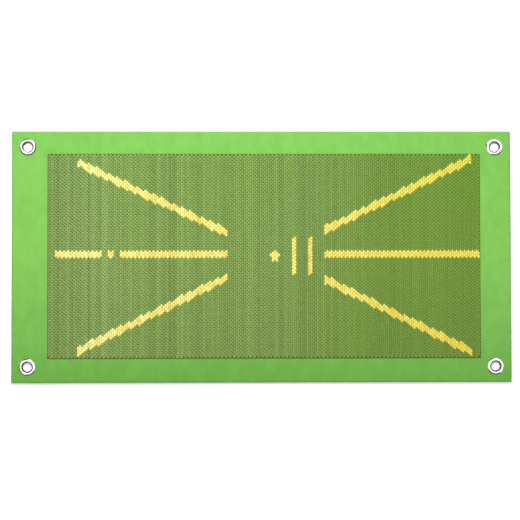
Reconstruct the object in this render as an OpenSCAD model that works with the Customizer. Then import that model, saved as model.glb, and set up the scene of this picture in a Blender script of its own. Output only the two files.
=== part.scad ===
// Golf swing mat with a field of flip sequins: a club brushed over it turns the sequins
// over and leaves its path showing. Millimetres, +Z up, +X along the long side, origin at
// the centre of the underside. Layers from below: rubber base, cover cloth, sequin ground,
// sewing threads, sequins. Four eyelets in the corners take pegs.

/* [Mat] */
// Length of the mat, along X
mat_l = 600; // [590:1:620]
// Width of the mat, along Y
mat_w = 302; // [296:1:320]
// Radius of the mat's four corners
corner_r = 1; // [0.5:0.25:6]
// Thickness of the rubber base
rubber_t = 3; // [2.5:0.25:5]
// Thickness of the cover cloth
cloth_t = 0.8; // [0.5:0.1:1.2]

/* [Sequin panel] */
// Length of the field of sequins, along X
panel_l = 520; // [505:1:524]
// Width of the field of sequins, along Y
panel_w = 245.5; // [236:0.5:250]
// Centre of the field, along X
panel_x = 2.9; // [-4:0.1:4]
// Centre of the field, along Y
panel_y = 0.75; // [-2:0.05:2]
// Thickness of the ground cloth the sequins are sewn to
ground_t = 0.3; // [0.2:0.05:0.5]
// Width of bare ground cloth round the sequins
ground_rim = 0.3; // [0.2:0.05:1.5]
// Distance of the panel's seam from the edge of the ground cloth
seam_in = 0.45; // [0.35:0.05:0.6]

/* [Sequins] */
// Diameter of one sequin
disc_d = 4.5; // [4.3:0.05:4.6]
// Thickness of one sequin
disc_t = 0.12; // [0.08:0.01:0.14]
// Distance from a sequin's edge to the centre of its thread hole
hole_edge = 0.6; // [0.5:0.05:0.75]
// Diameter of the thread hole
hole_d = 0.6; // [0.4:0.05:0.7]
// Spacing of the columns, along X
col_pitch = 2.43; // [2.4:0.01:2.5]
// Spacing of the sequins in a column, along Y
row_pitch = 4.05; // [4:0.01:4.2]
// How far each sequin leans up onto the next column, in degrees
lean = 9; // [8.5:0.25:12]
// How far each sequin rolls onto its neighbour in the column, in degrees
roll = 3; // [2.75:0.05:3.4]
// Height of the sequins' sewn edge above the ground cloth
sewn_h = 0.95; // [0.9:0.05:1.4]
// Diameter of the sewing thread under each column
thread_d = 0.25; // [0.15:0.01:0.28]

/* [Marks] */
// Height of the centre line, along Y
line_y = 2.775; // [0:0.025:5]
// Thickness of the lines, in rows of sequins
line_rows = 2; // [1:1:4]
// Centre of the ball star, along X
star_x = 16.1; // [6:0.1:26]
// Centre of the ball star, along Y
star_y = 0.75; // [-4:0.25:5]
// Place of the first gate line, along X
gate_1_x = 39.4; // [36:0.1:42]
// Place of the second gate line, along X
gate_2_x = 59; // [56:0.1:64]
// Length of the gate lines, along Y
gate_l = 47; // [38:1:54]

/* [Eyelets] */
// Distance from the mat's edges to each eyelet's centre
eyelet_inset = 19; // [15:0.5:19.5]
// Radius of the hole through an eyelet
bore_r = 5.5; // [4.8:0.1:5.7]
// Wall of an eyelet's barrel
barrel_t = 0.4; // [0.3:0.05:0.5]
// Outer radius of an eyelet's front flange
flange_r = 10; // [9:0.1:10.4]
// Height of the flange's crest above the cloth
flange_h = 1.3; // [1:0.05:1.6]
// Radius of the flange's crest, from which it rolls down into the hole
crest_r = 7.6; // [7.2:0.1:8.2]
// Depth of the roll from the crest down to the straight hole
roll_h = 1.9; // [1.4:0.1:2.4]
// Outer radius of the washer behind each eyelet
washer_r = 10; // [9:0.1:10.1]
// Thickness of the washer
washer_t = 0.5; // [0.3:0.05:0.6]

/* [Hidden] */
n_flip = 16;                                  // columns that are free to flip
z_cloth = rubber_t;
z_ground = z_cloth + cloth_t;
z_field = z_ground + ground_t;
z_sewn = z_field + sewn_h;                    // the sequins turn about this height
n_cols = floor(panel_l / col_pitch);
n_rows = floor(panel_w / row_pitch);
hole_off = disc_d / 2 - hole_edge;
seen = (disc_d - col_pitch) / 2;              // middle of the part its neighbour leaves bare
free_cut = disc_d / 2 + 0.1;                  // a slat ends this far from a disc's centre
recess_r = 10.3;                              // underside recess that takes a washer
recess_d = 1.2;
cloth_hole_r = 6.6;                           // hole in the rubber and cloth round a barrel
stitch_d = 0.35;
stitch_l = 2.6;
stitch_pitch = 3.4;
deep = 2 * (rubber_t + cloth_t);
green = [0.45, 0.58, 0.27];
yellow = [0.95, 0.86, 0.25];
nickel = [0.75, 0.75, 0.74];
corners = [[-1, 1], [1, 1], [-1, -1], [1, -1]];

function col_x(i) = panel_x + (i - (n_cols - 1) / 2) * col_pitch;
function stagger(i) = ((i + 1) % 2) / 2;       // every other column sits half a row higher
function row_y(i, j) = panel_y + (j - (n_rows - 0.5) / 2 + stagger(i)) * row_pitch;
function pivot_x(i) = col_x(i) - hole_off * cos(lean);

// Marks: which sequins are yellow. Along X a mark's place is where it shows, so it is compared
// with the middle of the part of a sequin that its left neighbour leaves bare. Along Y marks
// follow the rows' numbers, without the stagger, so every line has a tooth on each second
// column. A slanted line steps by pairs of columns, and takes a third sequin at some steps.
function plan_y(i, j) = row_y(i, j) + (stagger(i) - 1 / 4) * row_pitch;
function between(v, a, b) = v >= a && v < b;
function near_line(y, at, rows = line_rows) =
  between(at - y, -rows / 2 * row_pitch, rows / 2 * row_pitch);
function on_line(y) = near_line(y, line_y);
function on_ray(x, y, i, p, slope, x_end) =
  between(x, min(p[0], x_end), max(p[0], x_end))
  && near_line(y, p[1] + slope * (x - p[0]) + (2 * stagger(i) - 1 / 2) * abs(slope) * col_pitch,
    line_rows + 0.3);
function on_gate(x, y, at) = abs(x - at) < col_pitch && abs(y - 0.9) < (gate_l - disc_d) / 2;
star_col = 2 * round((star_x - seen - col_x(0)) / (2 * col_pitch) - 1 / 2) + 1;
function on_star(k, y) = k <= 1 ? abs(y - star_y) < 1.5 * row_pitch
  : k == 2 && abs(y - star_y) < row_pitch / 2;
function mark_at(x, y, i) =
  on_line(y) && between(x, -247, -192) ? "left_centre_line_outer"
  : on_line(y) && between(x, -184.4, -177) ? "left_centre_dot"
  : on_line(y) && between(x, -169.5, -41.4) ? "left_centre_line_inner"
  : on_line(y) && x >= 75.9 ? "right_centre_line"
  : on_ray(x, y, i, [-41.4, 28.3], -0.474, -221) ? "left_upper_line"
  : on_ray(x, y, i, [-41.4, -25], 0.492, -221) ? "left_lower_line"
  : on_ray(x, y, i, [75.9, 31.8], 0.485, 252.6) ? "right_upper_line"
  : on_ray(x, y, i, [75.9, -27.3], -0.494, 252.6) ? "right_lower_line"
  : on_star(abs(i - star_col), y) ? "ball_star"
  : on_gate(x, y, gate_1_x) ? "gate_line_1"
  : on_gate(x, y, gate_2_x) ? "gate_line_2"
  : "";
function mark(i, j) = mark_at(col_x(i) + seen, plan_y(i, j), i);
function is_green(i, j) = j >= 0 && j < n_rows && mark(i, j) == "";

module place(i, j) {
  translate([pivot_x(i), row_y(i, j), z_sewn])
    rotate([0, -lean, 0]) children();
}

module sequin(i, j) {
  place(i, j) rotate([roll, 0, 0])
    difference() {
      translate([hole_off, 0, 0]) cylinder(d = disc_d, h = disc_t, center = true, $fn = 24);
      cylinder(d = hole_d, h = 1, center = true, $fn = 24);
    }
}

// One run of green sequins in a column, from row a to row b, as a slat.
module slat(i, a, b) {
  lo = row_y(i, a) - (a == 0 ? disc_d / 2 : row_pitch - free_cut);
  hi = row_y(i, b) + (b == n_rows - 1 ? disc_d / 2 : row_pitch - free_cut);
  translate([pivot_x(i), lo, z_sewn]) rotate([0, -lean, 0])
    translate([-hole_edge, 0, -disc_t / 2]) cube([disc_d, hi - lo, disc_t]);
}

module slats_of(i) {
  starts = [for (j = [0:n_rows - 1]) if (is_green(i, j) && !is_green(i, j - 1)) j];
  ends = [for (j = [0:n_rows - 1]) if (is_green(i, j) && !is_green(i, j + 1)) j];
  for (k = [0:1:len(starts) - 1]) slat(i, starts[k], ends[k]);
}

module marked(name) {
  color(yellow) for (i = [n_flip:n_cols - 1], j = [0:n_rows - 1])
    if (mark(i, j) == name) sequin(i, j);
}

module flip_column(k) {
  for (j = [0:n_rows - 1])
    color(mark(k - 1, j) == "" ? green : yellow) sequin(k - 1, j);
}

module green_sequins() {
  color(green) for (i = [n_flip:n_cols - 1]) slats_of(i);
}

module mat_shape(h) {
  x = mat_l / 2 - corner_r;
  y = mat_w / 2 - corner_r;
  for (c = corners) translate([c[0] * x, c[1] * y, 0]) cylinder(r = corner_r, h = h, $fn = 48);
  translate([-x, -mat_w / 2, 0]) cube([2 * x, mat_w, h]);
  translate([-mat_l / 2, -y, 0]) cube([mat_l, 2 * y, h]);
}

module at_eyelet(c) {
  translate([c[0] * (mat_l / 2 - eyelet_inset), c[1] * (mat_w / 2 - eyelet_inset), 0]) children();
}

module at_eyelets() {
  for (c = corners) at_eyelet(c) children();
}

module rubber_base() {
  color([0.08, 0.08, 0.08]) difference() {
    mat_shape(rubber_t);
    at_eyelets() translate([0, 0, -deep / 2]) cylinder(r = cloth_hole_r, h = deep, $fn = 64);
    at_eyelets() translate([0, 0, -1]) cylinder(r = recess_r, h = recess_d + 1, $fn = 64);
  }
}

module cover_cloth() {
  color([0.5, 0.79, 0.33]) difference() {
    translate([0, 0, z_cloth]) mat_shape(cloth_t);
    at_eyelets() translate([0, 0, -deep / 2]) cylinder(r = cloth_hole_r, h = 2 * deep, $fn = 64);
  }
}

field_x0 = col_x(0) - disc_d / 2 - ground_rim;
field_x1 = col_x(n_cols - 1) + disc_d / 2 + ground_rim;
field_y0 = row_y(1, 0) - disc_d / 2 - ground_rim;
field_y1 = row_y(0, n_rows - 1) + disc_d / 2 + ground_rim;

module sequin_ground() {
  color([0.33, 0.36, 0.17]) translate([field_x0, field_y0, z_ground])
    cube([field_x1 - field_x0, field_y1 - field_y0, ground_t]);
}

// One side of the seam: stitches lying along `a` from p, over a length of `l`.
module stitch_row(p, a, l) {
  n = floor(l / stitch_pitch);
  translate([p[0], p[1], z_field + stitch_d / 2]) rotate([0, 0, a])
    for (k = [0:n - 1]) translate([(l - n * stitch_pitch) / 2 + (k + 0.5) * stitch_pitch, 0, 0])
      rotate([0, 90, 0]) cylinder(d = stitch_d, h = stitch_l, center = true, $fn = 16);
}

module panel_seam() {
  in = seam_in;
  x = field_x1 - field_x0 - 2 * in;
  y = field_y1 - field_y0 - 2 * in;
  color([0.4, 0.45, 0.2]) {
    for (p = [field_y0 + in, field_y1 - in]) stitch_row([field_x0 + in, p], 0, x);
    for (p = [field_x0 + in, field_x1 - in]) stitch_row([p, field_y0 + in + 2], 90, y - 4);
  }
}

module column_threads() {
  l = (n_rows - 0.5) * row_pitch + 1.6;        // past the last holes, clear of the seam
  color([0.3, 0.33, 0.15]) for (i = [0:n_cols - 1])
    translate([pivot_x(i), panel_y, z_field + thread_d / 2]) rotate([90, 0, 0])
      cylinder(d = thread_d, h = l, center = true, $fn = 16);
}

// Eyelet: a barrel whose top rolls out over the cloth into a rounded flange, and whose foot
// is curled out under the washer.
module eyelet(c) {
  z_in = z_ground + 0.05;                     // underside of the flange, just on the cloth
  z_rim = z_in + 0.2;
  z_top = z_ground + flange_h;
  foot_z = recess_d - washer_t - 0.05;        // top of the curled foot
  foot_r = 0.25;
  wall = bore_r + barrel_t;
  outside = [for (k = [0:8]) [crest_r + (flange_r - crest_r) * cos(11.25 * k),
    z_rim + (z_top - z_rim) * sin(11.25 * k)]];
  inside = [for (k = [1:12]) [crest_r - (crest_r - bore_r) * sin(7.5 * k),
    z_top - roll_h * (1 - cos(7.5 * k))]];
  curl = [for (k = [6:-1:0]) [wall + 1.2 + foot_r * sin(30 * k), foot_z - foot_r
    + foot_r * cos(30 * k)]];
  color(nickel) at_eyelet(c) rotate_extrude($fn = 96) polygon(concat(
    [[flange_r, z_in]], outside, inside, [[bore_r, foot_z - 2 * foot_r]], curl,
    [[wall, foot_z], [wall, z_in]]));
}

module washer(c) {
  color(nickel) at_eyelet(c) translate([0, 0, recess_d - washer_t]) difference() {
    cylinder(r = washer_r, h = washer_t, $fn = 64);
    translate([0, 0, -1]) cylinder(r = bore_r + barrel_t + 0.3, h = washer_t + 2, $fn = 64);
  }
}

rubber_base();
cover_cloth();
sequin_ground();
panel_seam();
column_threads();
green_sequins();
marked("left_upper_line");  // left_upper_line
marked("left_lower_line");  // left_lower_line
marked("left_centre_line_outer");  // left_centre_line_outer
marked("left_centre_dot");  // left_centre_dot
marked("left_centre_line_inner");  // left_centre_line_inner
marked("right_upper_line");  // right_upper_line
marked("right_centre_line");  // right_centre_line
marked("right_lower_line");  // right_lower_line
marked("ball_star");  // ball_star
marked("gate_line_1");  // gate_line_1
marked("gate_line_2");  // gate_line_2
flip_column(1);  // flip_column_01
flip_column(2);  // flip_column_02
flip_column(3);  // flip_column_03
flip_column(4);  // flip_column_04
flip_column(5);  // flip_column_05
flip_column(6);  // flip_column_06
flip_column(7);  // flip_column_07
flip_column(8);  // flip_column_08
flip_column(9);  // flip_column_09
flip_column(10);  // flip_column_10
flip_column(11);  // flip_column_11
flip_column(12);  // flip_column_12
flip_column(13);  // flip_column_13
flip_column(14);  // flip_column_14
flip_column(15);  // flip_column_15
flip_column(16);  // flip_column_16
eyelet(corners[0]);  // eyelet_back_left
eyelet(corners[1]);  // eyelet_back_right
eyelet(corners[2]);  // eyelet_front_left
eyelet(corners[3]);  // eyelet_front_right
washer(corners[0]);  // washer_back_left
washer(corners[1]);  // washer_back_right
washer(corners[2]);  // washer_front_left
washer(corners[3]);  // washer_front_right
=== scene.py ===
import math

import bpy
import numpy as np
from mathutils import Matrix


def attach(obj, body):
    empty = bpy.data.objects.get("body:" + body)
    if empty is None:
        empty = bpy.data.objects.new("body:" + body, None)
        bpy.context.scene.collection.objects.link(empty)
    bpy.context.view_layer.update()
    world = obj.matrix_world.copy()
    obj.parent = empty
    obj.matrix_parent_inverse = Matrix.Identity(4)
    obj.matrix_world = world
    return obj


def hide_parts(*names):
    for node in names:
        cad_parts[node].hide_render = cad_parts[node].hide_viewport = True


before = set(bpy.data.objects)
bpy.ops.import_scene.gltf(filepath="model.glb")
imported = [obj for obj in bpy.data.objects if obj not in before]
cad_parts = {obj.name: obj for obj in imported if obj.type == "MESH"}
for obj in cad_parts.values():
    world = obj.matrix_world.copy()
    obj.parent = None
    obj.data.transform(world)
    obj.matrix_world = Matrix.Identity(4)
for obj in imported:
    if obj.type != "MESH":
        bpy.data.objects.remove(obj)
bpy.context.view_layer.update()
scene = bpy.context.scene

# Sizes in metres, as in the part's source
MAT_L, MAT_W = 0.600, 0.302
DISC_R, DISC_T = 0.00225, 0.00012
HOLE_EDGE, HOLE_R = 0.0006, 0.0003
COL, ROW = 0.00243, 0.00405
LEAN, ROLL = math.radians(9), math.radians(3)
N_COLS, N_ROWS, N_FLIP = 213, 60, 16
PANEL_X, PANEL_Y = 0.0029, 0.00075
Z_RUBBER, Z_CLOTH, Z_SEWN = 0.003, 0.0038, 0.00505
EYELET_X, EYELET_Y = 0.281, 0.132
BARREL_HOLE_R = 0.0066                        # hole in the cloth round an eyelet's barrel
EYELETS = [(sx * EYELET_X, sy * EYELET_Y) for sx in (-1, 1) for sy in (-1, 1)]
HOLE_OFF = DISC_R - HOLE_EDGE                 # from a sequin's thread hole to its centre
SEEN = DISC_R - COL / 2                       # middle of the part its neighbour leaves bare

# Marks of yellow sequins, as in the part's source: runs of the centre line (start, end),
# slanted lines (inner end x and y, slope, outer end x), the star and the gate lines
LINE_Y = 0.002775
CENTRE_RUNS = (("left_centre_line_outer", -0.247, -0.192),
               ("left_centre_dot", -0.1844, -0.177),
               ("left_centre_line_inner", -0.1695, -0.0414),
               ("right_centre_line", 0.0759, math.inf))
SLANTED = (("left_upper_line", -0.0414, 0.0283, -0.474, -0.221),
           ("left_lower_line", -0.0414, -0.025, 0.492, -0.221),
           ("right_upper_line", 0.0759, 0.0318, 0.485, 0.2526),
           ("right_lower_line", 0.0759, -0.0273, -0.494, 0.2526))
SLANTED_HALF = 1.15 * ROW
STAR_COL, STAR_Y = 111, 0.00075
STAR_HALF = {0: 1.5, 1: 1.5, 2: 0.5}          # rows, by columns away from the star's middle
GATES = (("gate_line_1", 0.0394), ("gate_line_2", 0.059))
GATE_Y, GATE_HALF = 0.0009, 0.02125


def stagger(i):
    """Every other column sits half a row higher."""
    return ((i + 1) % 2) / 2


def col_x(i):
    return PANEL_X + (i - (N_COLS - 1) / 2) * COL


def row_y(i, j):
    return PANEL_Y + (j - (N_ROWS - 0.5) / 2 + stagger(i)) * ROW


def near_line(y, at, half=ROW):
    return -half <= at - y < half


def on_slanted(x, y, i, x0, y0, slope, x_end):
    at = y0 + slope * (x - x0) + (2 * stagger(i) - 0.5) * abs(slope) * COL
    return min(x0, x_end) <= x < max(x0, x_end) and near_line(y, at, SLANTED_HALF)


def mark(i, j):
    """The CAD node of the yellow mark that a sequin belongs to, or an empty string."""
    x, y = col_x(i) + SEEN, row_y(i, j) + (stagger(i) - 0.25) * ROW
    for name, start, end in CENTRE_RUNS:
        if near_line(y, LINE_Y) and start <= x < end:
            return name
    for name, *line in SLANTED:
        if on_slanted(x, y, i, *line):
            return name
    if abs(y - STAR_Y) < ROW * STAR_HALF.get(abs(i - STAR_COL), 0):
        return "ball_star"
    for name, at in GATES:
        if abs(x - at) < COL and abs(y - GATE_Y) < GATE_HALF:
            return name
    return ""


# ---------------------------------------------------------------- materials
class Nodes:
    """A small helper to write a material's node tree."""

    def __init__(self, name):
        self.mat = bpy.data.materials.new(name)
        self.mat.use_nodes = True
        self.tree = self.mat.node_tree
        self.bsdf = self.tree.nodes["Principled BSDF"]

    def add(self, kind, **values):
        n = self.tree.nodes.new("ShaderNode" + kind)
        for k, v in values.items():
            if hasattr(n, k):
                setattr(n, k, v)
            else:
                n.inputs[k.replace("_", " ")].default_value = v
        return n

    def link(self, a, b):
        self.tree.links.new(a, b)

    def set(self, **values):
        for k, v in values.items():
            self.bsdf.inputs[k.replace("_", " ")].default_value = v

    def coords(self, scale=(1, 1, 1)):
        c = self.add("TexCoord")
        m = self.add("Mapping")
        m.inputs["Scale"].default_value = scale
        self.link(c.outputs["Object"], m.inputs["Vector"])
        return m.outputs["Vector"]

    def axis(self, k):
        """One coordinate of the point, in metres."""
        x = self.add("SeparateXYZ")
        self.link(self.coords(), x.inputs[0])
        return x.outputs[k]

    def noise(self, scale, detail=3, vector=None, rough=0.5):
        n = self.add("TexNoise")
        n.inputs["Scale"].default_value = scale
        n.inputs["Detail"].default_value = detail
        n.inputs["Roughness"].default_value = rough
        self.link(vector or self.coords(), n.inputs["Vector"])
        return n.outputs["Fac"]

    def ramp(self, value, stops):
        r = self.add("ValToRGB")
        e = r.color_ramp.elements
        while len(e) < len(stops):
            e.new(0.5)
        for k, (at, c) in enumerate(stops):
            e[k].position = at
            e[k].color = (*c, 1) if len(c) == 3 else c
        self.link(value, r.inputs["Fac"])
        return r.outputs["Color"]

    def greys(self, value, *stops):
        """A ramp of greys, each stop being a place and a level."""
        return self.ramp(value, [(at, (v, v, v)) for at, v in stops])

    def mix(self, fac, a, b, kind="MIX"):
        m = self.add("Mix")
        m.data_type = "RGBA"
        m.blend_type = kind
        for socket, v in ((m.inputs[0], fac), (m.inputs[6], a), (m.inputs[7], b)):
            if isinstance(v, bpy.types.NodeSocket):
                self.link(v, socket)
            else:
                socket.default_value = v if isinstance(v, (int, float)) else (*v, 1)
        return m.outputs[2]

    def times(self, a, b):
        return self.mix(1.0, a, b, "MULTIPLY")

    def math(self, kind, a, b=0.0, c=0.5):
        m = self.add("Math", operation=kind)
        m.inputs[2].default_value = c
        for socket, v in zip(m.inputs, (a, b)):
            if isinstance(v, (int, float)):
                socket.default_value = v
            else:
                self.link(v, socket)
        return m.outputs[0]

    def along_y(self):
        """0 at the mat's near edge and 1 at its far edge, about."""
        return self.math("MULTIPLY_ADD", self.axis(1), 3.3, 0.5)

    def bump(self, height, strength, distance):
        b = self.add("Bump")
        b.inputs["Strength"].default_value = strength
        b.inputs["Distance"].default_value = distance
        self.link(height, b.inputs["Height"])
        self.link(b.outputs["Normal"], self.bsdf.inputs["Normal"])

    def color(self, socket):
        self.link(socket, self.bsdf.inputs["Base Color"])


def suede():
    n = Nodes("green_suede")
    wide = n.noise(9, 2, n.coords((0.5, 1, 1)))
    nap = n.noise(420, 4, n.coords((1, 0.45, 1)), 0.7)
    fibre = n.noise(2600, 2, n.coords((1, 0.5, 1)), 0.7)
    base = n.ramp(wide, [(0.3, (0.147, 0.379, 0.061)), (0.7, (0.166, 0.409, 0.0735))])
    blotch = n.ramp(n.noise(95, 3, n.coords((1, 0.6, 1)), 0.6),
                    [(0.36, (0.87, 0.87, 0.85)), (0.62, (1, 1, 1))])
    base = n.times(base, blotch)
    base = n.mix(n.math("MULTIPLY", nap, 0.5), base, (0.12, 0.328, 0.049))
    base = n.mix(n.math("MULTIPLY", fibre, 0.3), base, (0.218, 0.486, 0.105))
    # Painted shade: the suede is darker towards the mat's near edge and a little darker towards
    # its far edge
    painted_falloff = n.ramp(n.along_y(), [(0.02, (0.725, 0.796, 0.695)), (0.17, (0.88, 0.894, 0.905)),
                               (0.5, (1, 1, 1)), (1.0, (0.917, 0.943, 0.952))])
    n.color(n.times(base, painted_falloff))
    n.set(Roughness=0.95, Specular_IOR_Level=0.15)
    n.set(Sheen_Weight=0.35, Sheen_Roughness=0.45, Sheen_Tint=(0.6, 0.95, 0.4, 1))
    h = n.math("ADD", n.math("MULTIPLY", nap, 0.7), n.math("MULTIPLY", fibre, 0.3))
    n.bump(h, 0.5, 0.0004)
    return n.mat


def film_place(n):
    """Place on a sequin from the attribute `film`: 0 sewn to 1 free edge, and 0 to 1 across."""
    xyz = n.add("SeparateXYZ")
    n.link(n.add("Attribute", attribute_name="film").outputs["Vector"], xyz.inputs[0])
    return xyz.outputs[0], n.math("MULTIPLY_ADD", xyz.outputs[1], 0.5, 0.5)


def evened(n, base, right, reach, across):
    """Painted shade over each green disc, which evens the dots that the shingles' light makes,
    with painted shade across the mat from left to right as well.

    At the mat's left a band of painted shadow stays over the disc, so that the columns show there
    as lines.
    """
    # Painted shadow: a dark band across the middle of each disc
    shadow_band = n.greys(reach, (0.46, 0.95), (0.56, 0.475), (0.76, 0.475), (0.88, 0.95))
    # Painted shade: lighter and darker across the mat from left to right
    plain = n.greys(right, (0.0, 0.95), (0.19, 0.83), (0.42, 0.876), (0.7, 0.895), (0.84, 1.0))
    # How much of the painted shadow band shows, most at the mat's left
    depth = n.greys(right, (0.0, 0.9), (0.4, 0.1), (0.6, 0.0))
    # Painted shade along each disc, from its sewn edge to its free edge
    along = n.mix(n.greys(right, (0.1, 0.0), (0.35, 1.0)),
                  n.greys(reach, (0.58, 0.7), (0.71, 0.85), (0.85, 0.92), (0.97, 1.0)),
                  n.greys(reach, (0.58, 0.6), (0.71, 0.9), (0.85, 1.0), (0.97, 0.74)))
    # Painted shade: darker across the middle of each disc
    crown = n.greys(across, (0.1, 1.0), (0.4, 0.82), (0.6, 0.82), (0.9, 1.0))
    return n.times(n.times(n.times(base, n.mix(depth, plain, shadow_band)), along), crown)


def sequin(name, dark, mid, light, metallic, rough, far=None, even=False):
    """Film of a sequin: its own shade from the attribute `tint`, and faint streaks in the film.

    With `far`, painted shade drifts the film to that tint at the mat's right and darkens it at the
    mat's back, and each disc carries painted shade from side to side.
    """
    n = Nodes(name)
    tint = n.add("Attribute", attribute_name="tint").outputs["Fac"]
    base = n.ramp(tint, [(0.0, dark), (0.5, mid), (1.0, light)])
    streak = n.noise(900, 2, n.coords((1, 3, 1)), 0.6)
    base = n.mix(n.math("MULTIPLY", streak, 0.25), base, tuple(0.72 * c for c in mid))
    if far:
        right = n.math("MULTIPLY_ADD", n.axis(0), 1.9, 0.42)
        reach, across = film_place(n)
        # Painted shade: the film drifts to the `far` tint towards the mat's right
        base = n.times(base, n.ramp(right, [(0.25, (1, 1, 1)), (0.9, far)]))
        # Painted shade from side to side of each disc
        base = n.times(base, n.greys(across, (0.08, 1.0), (0.28, 0.92), (0.5, 0.825),
                                     (0.72, 0.78), (0.92, 0.875)))
        # Painted shade: the film is darker towards the mat's back
        base = n.times(base, n.ramp(n.along_y(), [(0.5, (1, 1, 1)), (0.85, (0.87, 0.93, 0.82))]))
        if even:
            base = evened(n, base, right, reach, across)
    n.color(base)
    n.set(Metallic=metallic, Roughness=rough)
    n.bump(n.noise(1500, 2), 0.12, 0.00008)
    return n.mat


def woven(name, dark, light, pitch, bump):
    """Crossed yarns at this pitch, with painted shade between them."""
    n = Nodes(name)
    v = n.coords()
    waves = [n.add("TexWave", bands_direction=d, Scale=0.314 / pitch, Distortion=1.0)
             for d in ("X", "Y")]
    for w in waves:
        n.link(v, w.inputs["Vector"])
    h = n.math("MULTIPLY", *(w.outputs["Fac"] for w in waves))
    # Painted shade: darker where the yarns dip, between them
    n.color(n.ramp(h, [(0.0, dark), (1.0, light)]))
    n.set(Roughness=0.9, Specular_IOR_Level=0.2)
    n.bump(h, 0.6, bump)
    return n.mat


def thread():
    n = Nodes("sewing_thread")
    t = n.noise(1800)
    n.color(n.ramp(t, [(0.3, (0.09, 0.11, 0.03)), (0.7, (0.20, 0.24, 0.07))]))
    n.set(Roughness=0.6)
    n.bump(t, 0.4, 0.0001)
    return n.mat


def rubber():
    n = Nodes("black_rubber")
    fine = n.noise(900, 4)
    dimple = n.add("TexVoronoi", Scale=650)
    n.link(n.coords(), dimple.inputs["Vector"])
    base = n.ramp(fine, [(0.3, (0.009, 0.009, 0.009)), (0.75, (0.034, 0.034, 0.033))])
    dust = n.greys(n.noise(22, 5, rough=0.65), (0.45, 0.0), (0.75, 0.45))
    n.color(n.mix(dust, base, (0.085, 0.082, 0.075)))
    n.set(Roughness=0.75, Specular_IOR_Level=0.35)
    h = n.math("ADD", n.math("MULTIPLY", dimple.outputs["Distance"], 0.8), fine)
    n.bump(h, 0.7, 0.0004)
    return n.mat


def nickel():
    """Plated eyelets: painted shade darkens the throat, and painted dark reflections darken the
    rim in patches.
    """
    n = Nodes("nickel_plate")
    fine = n.noise(1200)
    base = n.ramp(fine, [(0.3, (0.84, 0.83, 0.81)), (0.7, (0.93, 0.92, 0.90))])
    dx = n.math("SUBTRACT", n.math("ABSOLUTE", n.axis(0)), EYELET_X)
    dy = n.math("SUBTRACT", n.math("ABSOLUTE", n.axis(1)), EYELET_Y)
    r = n.math("SQRT", n.math("ADD", n.math("MULTIPLY", dx, dx), n.math("MULTIPLY", dy, dy)))
    r = n.math("MULTIPLY", r, 50)             # 1 at 20 mm from the eyelet's axis
    # Painted shade: the throat of each eyelet is dark
    throat_shade = n.ramp(r, [(0.34, (0.03, 0.026, 0.03)), (0.362, (1, 1, 1))])
    rim = n.greys(r, (0.39, 0.0), (0.46, 1.0))
    # Painted dark reflections: patches that darken the rim
    dark_reflection_patch = n.ramp(n.noise(110, 0), [(0.44, (1, 1, 1)), (0.54, (0.1, 0.09, 0.09))])
    base = n.times(base, throat_shade)
    n.color(n.mix(rim, base, n.times(base, dark_reflection_patch)))
    n.set(Metallic=1.0)
    n.link(n.math("MULTIPLY_ADD", fine, 0.12, 0.1), n.bsdf.inputs["Roughness"])
    n.bump(n.noise(300, 2), 0.08, 0.0002)
    return n.mat


SUEDE = suede()
GREEN = sequin("sequin_green_front", (0.242, 0.408, 0.079), (0.366, 0.582, 0.118),
               (0.5, 0.765, 0.18), 0.3, 0.42, (0.645, 0.745, 0.313), True)
GREEN_BACK = sequin("sequin_green_back", (0.36, 0.52, 0.10), (0.46, 0.66, 0.16),
                    (0.58, 0.78, 0.24), 0.35, 0.4)
YELLOW = sequin("sequin_yellow_front", (0.68, 0.52, 0.065), (0.83, 0.71, 0.16),
                (0.97, 0.87, 0.36), 0.1, 0.42, (0.97, 0.93, 0.36))
YELLOW_BACK = sequin("sequin_yellow_back", (0.60, 0.60, 0.55), (0.74, 0.74, 0.70),
                     (0.86, 0.86, 0.82), 0.3, 0.4)
GROUND = woven("sequin_ground_mesh", (0.05, 0.062, 0.015), (0.15, 0.19, 0.05), 0.0006, 0.0002)
THREAD = thread()
RUBBER = rubber()
NICKEL = nickel()


def dress(node, material):
    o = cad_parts[node]
    o.data.materials.clear()
    o.data.materials.append(material)


# ---------------------------------------------------------------- sequins
def disc():
    """One closed sequin, its thread hole at the origin: corners, faces, and 0 front or 1 back."""
    m = 7                                     # corners of the hole, half those of the rim
    out = [(HOLE_OFF + DISC_R * math.cos(a), DISC_R * math.sin(a))
           for a in (math.pi * k / m + math.pi for k in range(2 * m))]
    inn = [(HOLE_R * math.cos(a), HOLE_R * math.sin(a))
           for a in (2 * math.pi * k / m + math.pi for k in range(m))]
    ring = out + inn
    n = len(ring)
    verts = [(x, y, DISC_T / 2) for x, y in ring] + [(x, y, -DISC_T / 2) for x, y in ring]
    faces, side = [], []
    for k in range(m):
        a, b, c = 2 * k, 2 * k + 1, (2 * k + 2) % (2 * m)
        p, q = 2 * m + k, 2 * m + (k + 1) % m
        for t in ((a, b, p), (b, q, p), (b, c, q)):
            faces += [t, tuple(n + v for v in reversed(t))]
            side += [0, 1]
        for u, v in ((a, b), (b, c), (q, p)):
            faces.append((v, u, n + u, n + v))
            side.append(0)
    return np.array(verts), faces, np.array(side)


def turned(a, b, angle):
    """Coordinates a and b after a turn by each sequin's angle."""
    c, s = np.cos(angle)[:, None], np.sin(angle)[:, None]
    return a * c - b * s, a * s + b * c


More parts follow.
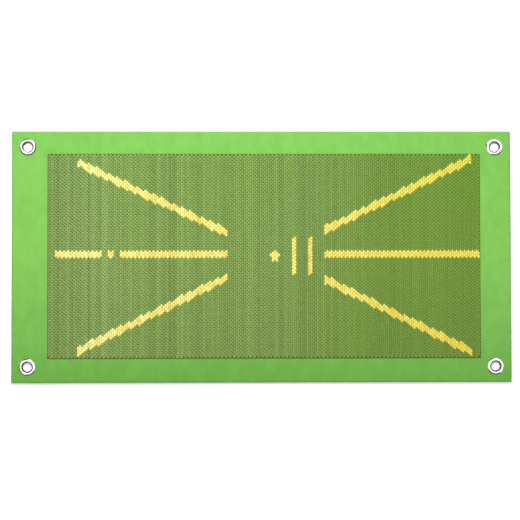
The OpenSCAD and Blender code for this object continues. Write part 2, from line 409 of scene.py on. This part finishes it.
VERTS, FACES, SIDE = disc()
FILM = np.stack([0.5 + (VERTS[:, 0] - HOLE_OFF) / (2 * DISC_R), VERTS[:, 1] / DISC_R,
                 np.zeros(len(VERTS))], 1)
rng = np.random.default_rng(11)
SHADE = rng.normal(0, 1, (N_COLS, N_ROWS))
TILT = rng.normal(0, 1, (N_COLS, N_ROWS, 3))
for k in range(3):  # neighbours on a thread share part of their tilt
    TILT[:, 1:, k] = 0.6 * TILT[:, 1:, k] + 0.4 * TILT[:, :-1, k]
COLUMN = rng.normal(0, 1, N_COLS)


def sequins(name, cells, body, nodes):
    """One mesh of the sequins at these (column, row) cells, yellow where a mark is."""
    i, j = np.array(cells).T
    pos = np.stack([col_x(i) - HOLE_OFF * math.cos(LEAN), row_y(i, j), np.full(len(i), Z_SEWN)], 1)
    t = TILT[i, j]
    lean = LEAN + np.radians(np.clip(0.25 * t[:, 0] + 0.3 * COLUMN[i], -1.2, 1.2))
    roll = ROLL + np.radians(np.clip(0.25 * t[:, 1], -0.6, 0.6))
    yaw = np.radians(np.clip(0.5 * t[:, 2], -1.2, 1.2))
    x, y, z = VERTS.T[:, None, :]
    y, z = turned(y, z, roll)
    x, z = turned(x, z, lean)
    x, y = turned(x, y, yaw)
    co = np.stack([x, y, z], 2) + pos[:, None, :]
    count, nv = len(i), len(VERTS)
    base = np.array([v for f in FACES for v in f])
    sizes = np.array([len(f) for f in FACES])
    loops = (base[None] + nv * np.arange(count)[:, None]).ravel()
    starts = np.r_[0, np.cumsum(np.tile(sizes, count))[:-1]]
    mesh = bpy.data.meshes.new(name)
    mesh.vertices.add(count * nv)
    mesh.vertices.foreach_set("co", co.ravel().astype(np.float32))
    mesh.loops.add(len(loops))
    mesh.loops.foreach_set("vertex_index", loops.astype(np.int32))
    mesh.polygons.add(len(starts))
    mesh.polygons.foreach_set("loop_start", starts.astype(np.int32))
    yellow = np.array([mark(a, b) != "" for a, b in zip(i.tolist(), j.tolist())])
    kinds = [] if yellow.all() else [(GREEN, GREEN_BACK)]
    if yellow.any():
        kinds.append((YELLOW, YELLOW_BACK))
    for material in sum(kinds, ()):
        mesh.materials.append(material)
    index = SIDE[None] + 2 * (len(kinds) - 1) * yellow[:, None]
    mesh.polygons.foreach_set("material_index", index.ravel().astype(np.int32))
    left = 1 - i / N_COLS
    shade = np.clip(0.5 + (0.03 + 0.04 * left + 0.08 * yellow) * SHADE[i, j]
                    + (0.03 + 0.15 * left) * COLUMN[i], 0, 1)
    tint = mesh.attributes.new("tint", "FLOAT", "POINT")
    tint.data.foreach_set("value", np.repeat(shade, nv).astype(np.float32))
    film = mesh.attributes.new("film", "FLOAT_VECTOR", "POINT")
    film.data.foreach_set("vector", np.tile(FILM.ravel(), count).astype(np.float32))
    mesh.update(calc_edges=True)
    mesh.validate()
    o = bpy.data.objects.new(name, mesh)
    scene.collection.objects.link(o)
    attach(o, body)
    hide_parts(*nodes)


cells = {}
for i in range(N_FLIP, N_COLS):
    for j in range(N_ROWS):
        cells.setdefault(mark(i, j), []).append((i, j))
green = cells.pop("")
GREEN_PIECES = 6                              # keeps each piece's faces few enough
for k in range(GREEN_PIECES):
    share = green[len(green) * k // GREEN_PIECES:len(green) * (k + 1) // GREEN_PIECES]
    sequins(f"green_sequins_{k + 1}", share, "mat", ["green_sequins"])
for name, found in cells.items():
    sequins(name + "_sequins", found, "mat", [name])
for i in range(N_FLIP):
    body = f"flip_column_{i + 1:02d}"
    sequins(body + "_sequins", [(i, j) for j in range(N_ROWS)], body, [body])


# ---------------------------------------------------------------- cloth
def smooth(x, a, b):
    t = np.clip((x - a) / (b - a), 0, 1)
    return t * t * (3 - 2 * t)


# Dents and creases of the border: centre x and y, half sizes, and height against the waves
CREASES = ((-0.288, -0.075, 0.004, 0.03, 1.6), (-0.272, -0.085, 0.005, 0.022, -1.2),
           (0.285, 0.03, 0.005, 0.04, 0.9), (0.02, -0.139, 0.05, 0.004, 1.0))
WAVES, WAVE_H = 26, 0.00014
EDGE_DROP, EDGE_W = 0.00025, 0.0026           # the cloth's rounded outer edge
PANEL_HALF = (0.2605, 0.1233)                 # the cloth is flat inside this
FLANGE_FLAT, FLANGE_FADE = 0.0108, 0.017      # and within these radii of an eyelet


def cloth_top(gx, gy):
    """Height of the cloth: flat under the panel and the eyelets, faintly uneven elsewhere."""
    r = np.random.default_rng(5)
    h = np.zeros_like(gx)
    for _ in range(WAVES):
        k = r.uniform(20, 170)
        a = r.uniform(0, math.pi)
        h += np.sin(k * (gx * math.cos(a) + gy * math.sin(a)) + r.uniform(0, 6.28)) / WAVES ** 0.5
    for cx, cy, w, l, s in CREASES:
        h += s * np.exp(-((gx - cx) / w) ** 2 - ((gy - cy) / l) ** 2)
    out = np.maximum(np.abs(gx - PANEL_X) - PANEL_HALF[0], np.abs(gy - PANEL_Y) - PANEL_HALF[1])
    fade = smooth(out, 0.0005, 0.008)
    for ex, ey in EYELETS:
        fade = fade * smooth(np.hypot(gx - ex, gy - ey), FLANGE_FLAT, FLANGE_FADE)
    top = Z_CLOTH + WAVE_H * np.clip(h, -1.5, 2.5) * fade
    edge = np.minimum(MAT_L / 2 - np.abs(gx), MAT_W / 2 - np.abs(gy))
    return top - EDGE_DROP * (1 - smooth(edge, 0, EDGE_W)) ** 2


def cut_hole(o, ex, ey):
    """Cut an eyelet's hole through the cloth."""
    bpy.ops.mesh.primitive_cylinder_add(vertices=48, radius=BARREL_HOLE_R, depth=0.02,
                                        location=(ex, ey, Z_RUBBER))
    cutter = bpy.context.object
    cut = o.modifiers.new("hole", "BOOLEAN")
    cut.object, cut.operation, cut.solver = cutter, "DIFFERENCE", "EXACT"
    bpy.context.view_layer.update()
    seen = o.evaluated_get(bpy.context.evaluated_depsgraph_get())
    done = bpy.data.meshes.new_from_object(seen)
    o.modifiers.clear()
    o.data = done
    bpy.data.objects.remove(cutter)


def cloth():
    """The cover cloth as one closed sheet, with its eyelet holes."""
    nx, ny = 241, 122
    gx, gy = np.meshgrid(np.linspace(-MAT_L / 2, MAT_L / 2, nx),
                         np.linspace(-MAT_W / 2, MAT_W / 2, ny), indexing="ij")
    top, under = cloth_top(gx, gy), np.full_like(gx, Z_RUBBER)
    n = nx * ny
    verts = np.concatenate([np.stack([gx, gy, z], 2).reshape(-1, 3) for z in (top, under)])
    idx = np.arange(n).reshape(nx, ny).tolist()
    faces = []
    for a in range(nx - 1):
        for b in range(ny - 1):
            q = (idx[a][b], idx[a + 1][b], idx[a + 1][b + 1], idx[a][b + 1])
            faces += [q, tuple(n + v for v in reversed(q))]
    rim = ([idx[a][0] for a in range(nx)] + [idx[nx - 1][b] for b in range(1, ny)]
           + [idx[a][ny - 1] for a in range(nx - 2, -1, -1)]
           + [idx[0][b] for b in range(ny - 2, 0, -1)])
    for u, v in zip(rim, rim[1:] + rim[:1]):
        faces.append((v, u, n + u, n + v))
    mesh = bpy.data.meshes.new("cover_cloth_suede")
    mesh.from_pydata(verts.tolist(), [], faces)
    mesh.update()
    o = bpy.data.objects.new("cover_cloth_suede", mesh)
    scene.collection.objects.link(o)
    mesh.materials.append(SUEDE)
    for ex, ey in EYELETS:
        cut_hole(o, ex, ey)
    o.data.name = "cover_cloth_suede"
    o.data.polygons.foreach_set("use_smooth", [abs(p.normal.z) > 0.5 for p in o.data.polygons])
    return o


suede_top = cloth()
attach(suede_top, "mat")
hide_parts("cover_cloth")

# ---------------------------------------------------------------- pieces kept from the CAD
dress("rubber_base", RUBBER)
dress("sequin_ground", GROUND)
dress("panel_seam", THREAD)
dress("column_threads", THREAD)
for corner in ("back_left", "back_right", "front_left", "front_right"):
    dress("eyelet_" + corner, NICKEL)
    dress("washer_" + corner, NICKEL)

# ---------------------------------------------------------------- floor, light and camera
bpy.ops.mesh.primitive_plane_add(size=12, location=(0, 0, -0.0002))
floor = bpy.context.object
floor.name = "floor"
white = Nodes("floor_white")
white.set(Base_Color=(0.95, 0.95, 0.95, 1), Roughness=0.9, Specular_IOR_Level=0.0)
floor.data.materials.append(white.mat)


def key_light(place, target, size, power, colour):
    """A round lamp at a place, facing the target."""
    light = bpy.data.lights.new("key", "AREA")
    light.shape, light.size, light.energy, light.color = "DISK", size, power, colour
    o = bpy.data.objects.new("key", light)
    d = np.array(target, float) - np.array(place, float)
    o.location = place
    o.rotation_euler = (math.acos(-d[2] / np.linalg.norm(d)), 0, math.atan2(d[0], -d[1]))
    scene.collection.objects.link(o)


key_light((-0.1, 0.7, 1.15), (-0.03, 0.0, 0), 0.4, 31, (1.0, 1.0, 0.98))

# A studio round the mat that is dim at the sides and bright overhead
SKY = ((0.0, 0.14), (0.3, 0.1), (0.6, 0.3), (0.75, 1.0))
world = bpy.data.worlds.new("studio")
scene.world = world
world.use_nodes = True
wt = world.node_tree
bg = wt.nodes["Background"]
coord = wt.nodes.new("ShaderNodeTexCoord")
sep = wt.nodes.new("ShaderNodeSeparateXYZ")
ramp = wt.nodes.new("ShaderNodeValToRGB")
while len(ramp.color_ramp.elements) < len(SKY):
    ramp.color_ramp.elements.new(0.5)
for e, (at, v) in zip(ramp.color_ramp.elements, SKY):
    e.position, e.color = at, (v, v, v, 1)
wt.links.new(coord.outputs["Generated"], sep.inputs[0])
wt.links.new(sep.outputs[2], ramp.inputs["Fac"])
wt.links.new(ramp.outputs["Color"], bg.inputs["Color"])
bg.inputs["Strength"].default_value = 1.5

camera = bpy.data.objects.new("camera", bpy.data.cameras.new("camera"))
camera.data.lens = 100
camera.location = (-0.030727, -0.057305, 1.738827)
camera.rotation_euler = (0.030666, -0.016337, -0.001775)
scene.collection.objects.link(camera)
scene.camera = camera
scene.view_settings.view_transform = "Standard"
